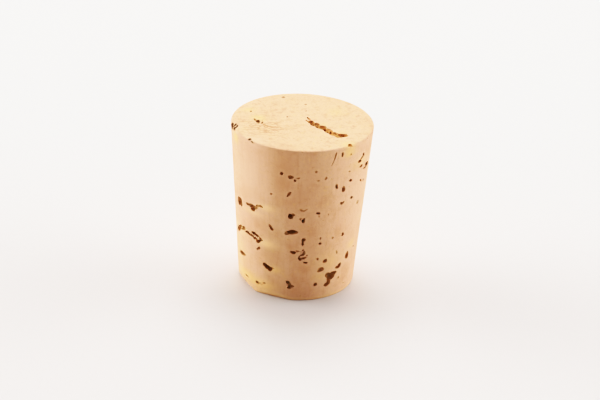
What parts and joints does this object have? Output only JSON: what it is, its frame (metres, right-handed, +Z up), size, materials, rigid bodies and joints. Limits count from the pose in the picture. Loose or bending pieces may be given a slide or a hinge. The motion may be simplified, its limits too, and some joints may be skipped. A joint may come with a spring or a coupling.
{
  "type": "cork stopper",
  "caption": "Tapered stopper of natural cork: a solid round plug, wider at its top, with flat ends and open pores, that closes the neck of a bottle, flask or jar.",
  "frame": {"origin": "centre of the narrow end's face, which it stands on", "axes": "+Z up the stopper's axis towards the wide end; -Y is the front, with the long slit of the top face towards +X"},
  "size_m": [0.024, 0.024, 0.0288],
  "materials": {
    "cork": "bare natural cork, matte, cut and sanded, with open brown pores"
  },
  "bodies": {
    "root": {"stopper": "cork"}
  },
  "joints": []
}
